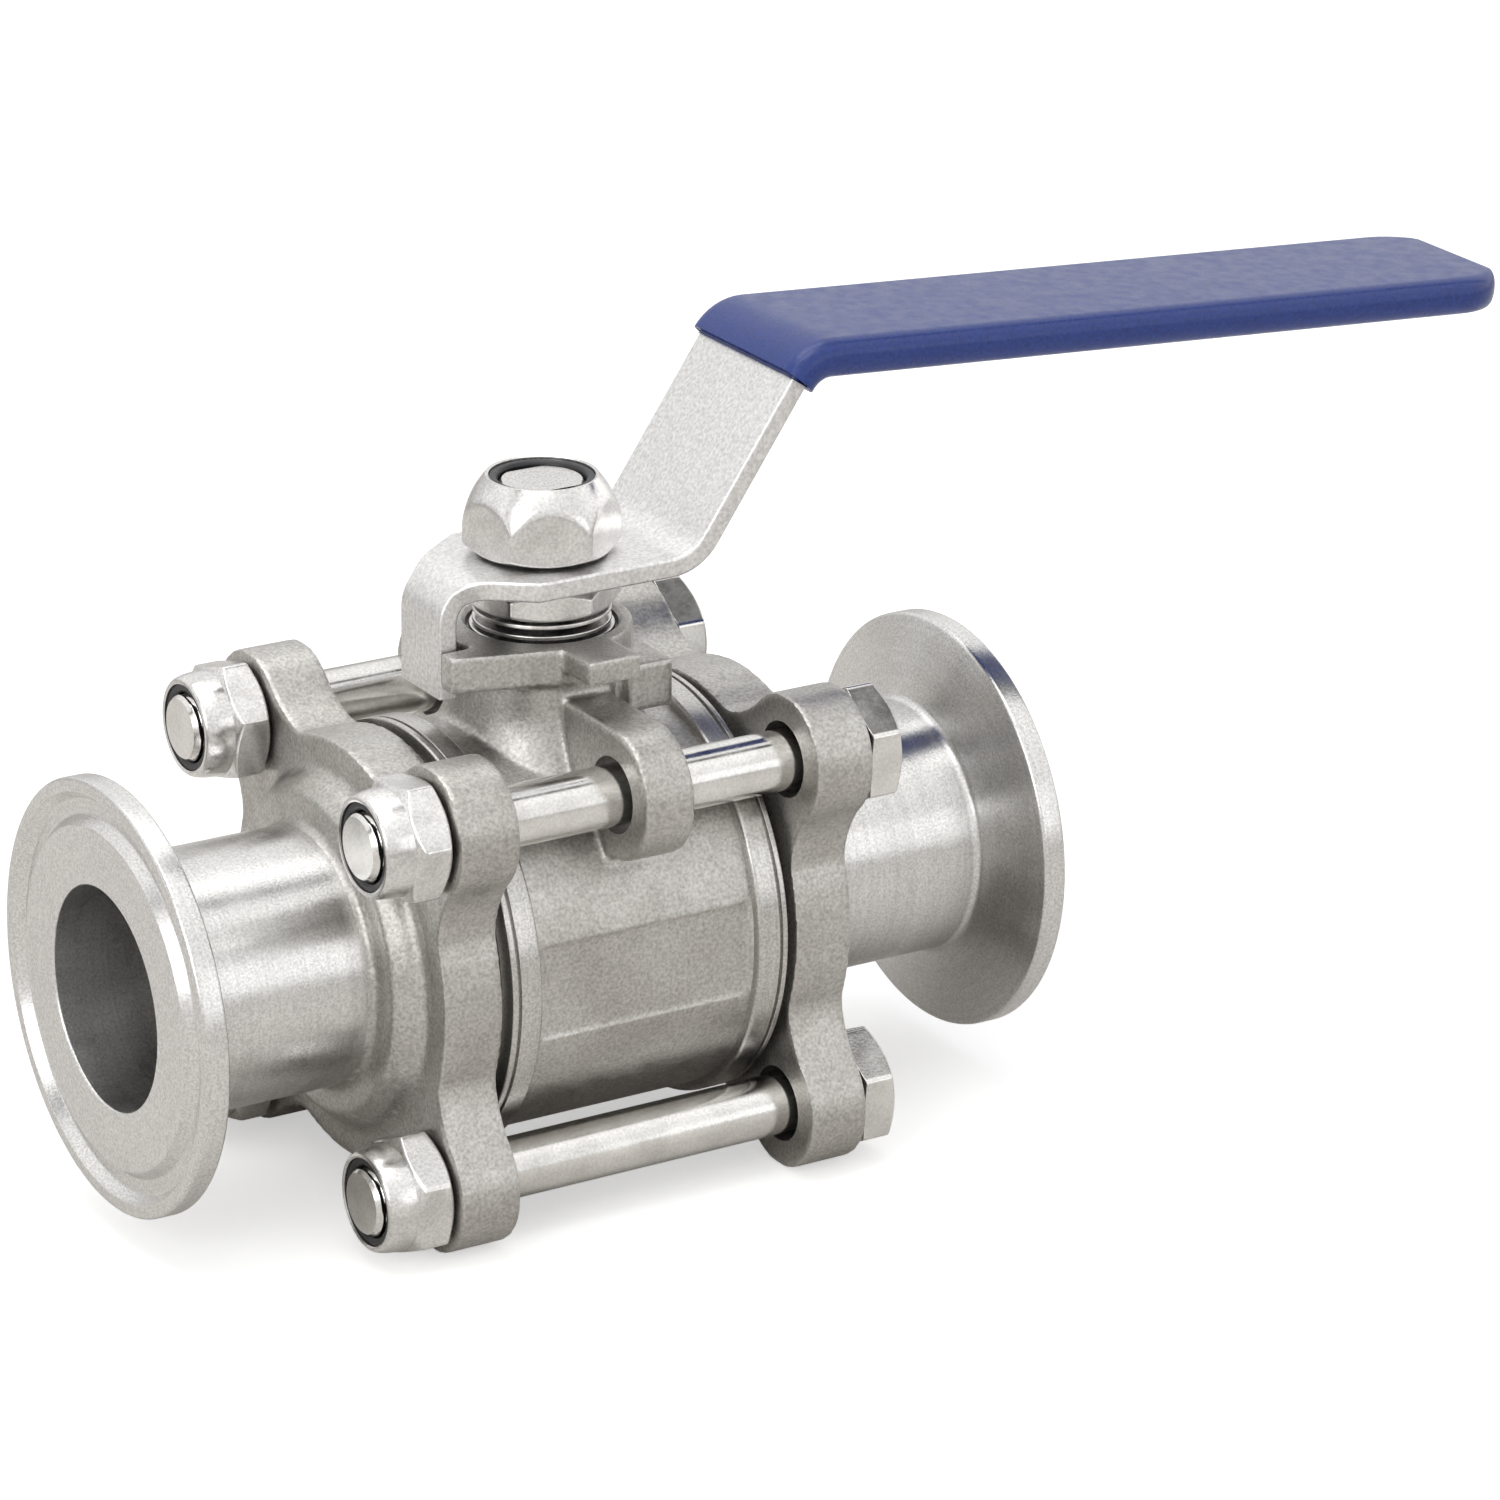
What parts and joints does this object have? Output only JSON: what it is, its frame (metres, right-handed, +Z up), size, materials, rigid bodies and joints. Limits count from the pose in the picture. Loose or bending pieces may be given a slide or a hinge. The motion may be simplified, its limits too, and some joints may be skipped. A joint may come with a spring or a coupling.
{
  "type": "clamp-end ball valve",
  "caption": "Bolted stainless ball valve with sanitary clamp ferrules, tie bolts, a stop pad and a blue-gripped quarter-turn lever.",
  "frame": {"origin": "centre of the bounding box in plan, at the height of the lower ears that the valve rests on", "axes": "+X along the pipe from the nut side to the bolt head side, which is also the way the open lever points; +Y to the back; +Z up along the stem"},
  "size_m": [0.187, 0.0582, 0.0955],
  "materials": {
    "cast_steel": "bead-blasted stainless casting",
    "cap_steel": "blasted casting with turned tube and ferrule",
    "turned_steel": "turned stainless",
    "bright_steel": "bright stainless fasteners",
    "ball_steel": "polished stainless ball",
    "plate_steel": "satin rolled plate",
    "blue_vinyl": "dipped vinyl",
    "seat_polymer": "white fluoropolymer",
    "nylon_black": "black nylon"
  },
  "bodies": {
    "valve_body": {"body": "cast_steel", "end_cap_left": "cap_steel", "end_cap_right": "cap_steel", "seat_ring_left": "seat_polymer", "seat_ring_right": "seat_polymer", "body_seal_left": "seat_polymer", "body_seal_right": "seat_polymer", "stem_thrust_washer": "seat_polymer", "packing_ring_lower": "seat_polymer", "packing_ring_upper": "seat_polymer", "gland_ring": "turned_steel", "tie_bolt_front_lower": "bright_steel", "tie_bolt_front_upper": "bright_steel", "tie_bolt_back_lower": "bright_steel", "tie_bolt_back_upper": "bright_steel", "tie_nut_front_lower": "bright_steel", "tie_nut_front_upper": "bright_steel", "tie_nut_back_lower": "bright_steel", "tie_nut_back_upper": "bright_steel", "tie_nut_insert_front_lower": "nylon_black", "tie_nut_insert_front_upper": "nylon_black", "tie_nut_insert_back_lower": "nylon_black", "tie_nut_insert_back_upper": "nylon_black"},
    "lever_and_ball": {"ball": "ball_steel", "stem": "turned_steel", "disc_spring_lower": "bright_steel", "disc_spring_upper": "bright_steel", "gland_nut": "bright_steel", "lever": "plate_steel", "grip_sleeve": "blue_vinyl", "stem_nut": "bright_steel", "stem_nut_insert": "nylon_black"}
  },
  "joints": [
    {"name": "stem_turn", "type": "hinge", "parent": "valve_body", "child": "lever_and_ball", "pos_m": [-0.037, 0, 0.0291], "axis": [0, 0, 1], "range_deg": [-90, 0]}
  ]
}
